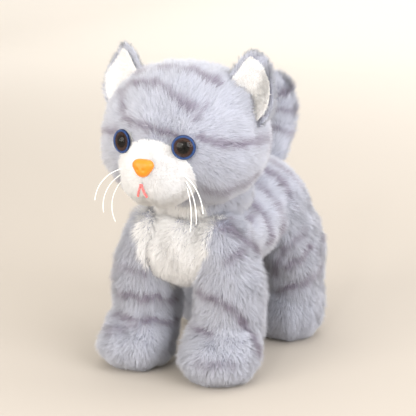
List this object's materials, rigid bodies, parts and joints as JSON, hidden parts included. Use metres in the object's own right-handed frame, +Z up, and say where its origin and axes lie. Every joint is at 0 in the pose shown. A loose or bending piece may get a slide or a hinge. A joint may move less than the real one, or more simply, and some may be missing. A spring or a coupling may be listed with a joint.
{
  "type": "plush cat",
  "caption": "Standing stuffed kitten with striped grey fur, white muzzle and chest, glossy eyes, soft posable ears, legs and upright tail.",
  "frame": {"origin": "centre of the bounding box on the floor, between the four paws", "axes": "+Z up, the cat faces -Y, its left side is +X"},
  "size_m": [0.1318, 0.2194, 0.2226],
  "materials": {
    "grey_fur": "light blue-grey plush fur fabric, about 6 mm pile, with soft airbrushed purple-grey stripes",
    "white_fur": "white short-pile plush",
    "fibrefill": "loose white polyester fibre filling, compressed",
    "eye_black": "moulded plastic safety-eye back with printed iris and shank",
    "eye_clear": "clear glossy moulded dome",
    "nose_orange": "satin orange moulded plastic nose with shank",
    "washer": "white moulded plastic push-on washer",
    "mouth_thread": "pink embroidery thread",
    "whisker": "white nylon monofilament"
  },
  "bodies": {
    "torso": {"torso_left_panel": "grey_fur", "torso_right_panel": "grey_fur", "belly_gusset": "grey_fur", "chest_bib": "white_fur", "torso_stuffing": "fibrefill"},
    "neck": {"neck_stuffing": "fibrefill"},
    "head": {"head_crown": "grey_fur", "head_face_left": "grey_fur", "head_face_right": "grey_fur", "head_back": "grey_fur", "head_stuffing": "fibrefill", "muzzle_cover": "white_fur", "muzzle_stuffing": "fibrefill", "nose": "nose_orange", "nose_washer": "washer", "mouth_stitching": "mouth_thread", "eye_left_back": "eye_black", "eye_left_lens": "eye_clear", "eye_left_washer": "washer", "eye_right_back": "eye_black", "eye_right_lens": "eye_clear", "eye_right_washer": "washer", "whiskers_left": "whisker", "whiskers_right": "whisker"},
    "ear_left": {"ear_left_back": "grey_fur", "ear_left_lining": "white_fur"},
    "ear_right": {"ear_right_back": "grey_fur", "ear_right_lining": "white_fur"},
    "tail_lower": {"tail_lower_sleeve": "grey_fur", "tail_lower_stuffing": "fibrefill"},
    "tail_upper": {"tail_upper_sleeve": "grey_fur", "tail_upper_stuffing": "fibrefill"},
    "front_left_leg": {"front_left_outer_panel": "grey_fur", "front_left_inner_panel": "grey_fur", "front_left_stuffing": "fibrefill", "front_left_sole": "grey_fur"},
    "front_right_leg": {"front_right_outer_panel": "grey_fur", "front_right_inner_panel": "grey_fur", "front_right_stuffing": "fibrefill", "front_right_sole": "grey_fur"},
    "hind_left_leg": {"hind_left_outer_panel": "grey_fur", "hind_left_inner_panel": "grey_fur", "hind_left_stuffing": "fibrefill", "hind_left_sole": "grey_fur"},
    "hind_right_leg": {"hind_right_outer_panel": "grey_fur", "hind_right_inner_panel": "grey_fur", "hind_right_stuffing": "fibrefill", "hind_right_sole": "grey_fur"}
  },
  "joints": [
    {"name": "neck_turn", "type": "hinge", "parent": "torso", "child": "neck", "pos_m": [0, -0.0312, 0.139], "axis": [0, 0, 1], "range_deg": [-25, 25], "stiffness_Nm_per_rad": 0.5},
    {"name": "head_nod", "type": "hinge", "parent": "neck", "child": "head", "pos_m": [0, -0.0312, 0.139], "axis": [1, 0, 0], "range_deg": [-12, 10], "stiffness_Nm_per_rad": 0.8},
    {"name": "ear_left_fold", "type": "hinge", "parent": "head", "child": "ear_left", "pos_m": [0.05, -0.0432, 0.1954], "axis": [0.622, 0, -0.783], "range_deg": [-10, 30], "stiffness_Nm_per_rad": 0.01},
    {"name": "ear_right_fold", "type": "hinge", "parent": "head", "child": "ear_right", "pos_m": [-0.05, -0.0432, 0.1954], "axis": [0.622, 0, 0.783], "range_deg": [-10, 30], "stiffness_Nm_per_rad": 0.01},
    {"name": "front_left_leg_swing", "type": "hinge", "parent": "torso", "child": "front_left_leg", "pos_m": [0.0326, -0.0472, 0.084], "axis": [1, 0, 0], "range_deg": [-12, 12], "stiffness_Nm_per_rad": 1},
    {"name": "front_right_leg_swing", "type": "hinge", "parent": "torso", "child": "front_right_leg", "pos_m": [-0.0326, -0.0472, 0.084], "axis": [1, 0, 0], "range_deg": [-12, 12], "stiffness_Nm_per_rad": 1},
    {"name": "hind_left_leg_swing", "type": "hinge", "parent": "torso", "child": "hind_left_leg", "pos_m": [0.032, 0.0448, 0.093], "axis": [1, 0, 0], "range_deg": [-12, 12], "stiffness_Nm_per_rad": 1},
    {"name": "hind_right_leg_swing", "type": "hinge", "parent": "torso", "child": "hind_right_leg", "pos_m": [-0.032, 0.0448, 0.093], "axis": [1, 0, 0], "range_deg": [-12, 12], "stiffness_Nm_per_rad": 1},
    {"name": "tail_wag", "type": "hinge", "parent": "torso", "child": "tail_lower", "pos_m": [0, 0.0788, 0.124], "axis": [0, 1, 0], "range_deg": [-30, 30], "stiffness_Nm_per_rad": 0.06},
    {"name": "tail_curl", "type": "hinge", "parent": "tail_lower", "child": "tail_upper", "pos_m": [0, 0.09717, 0.15775], "axis": [1, 0, 0], "range_deg": [-20, 20], "stiffness_Nm_per_rad": 0.04}
  ]
}
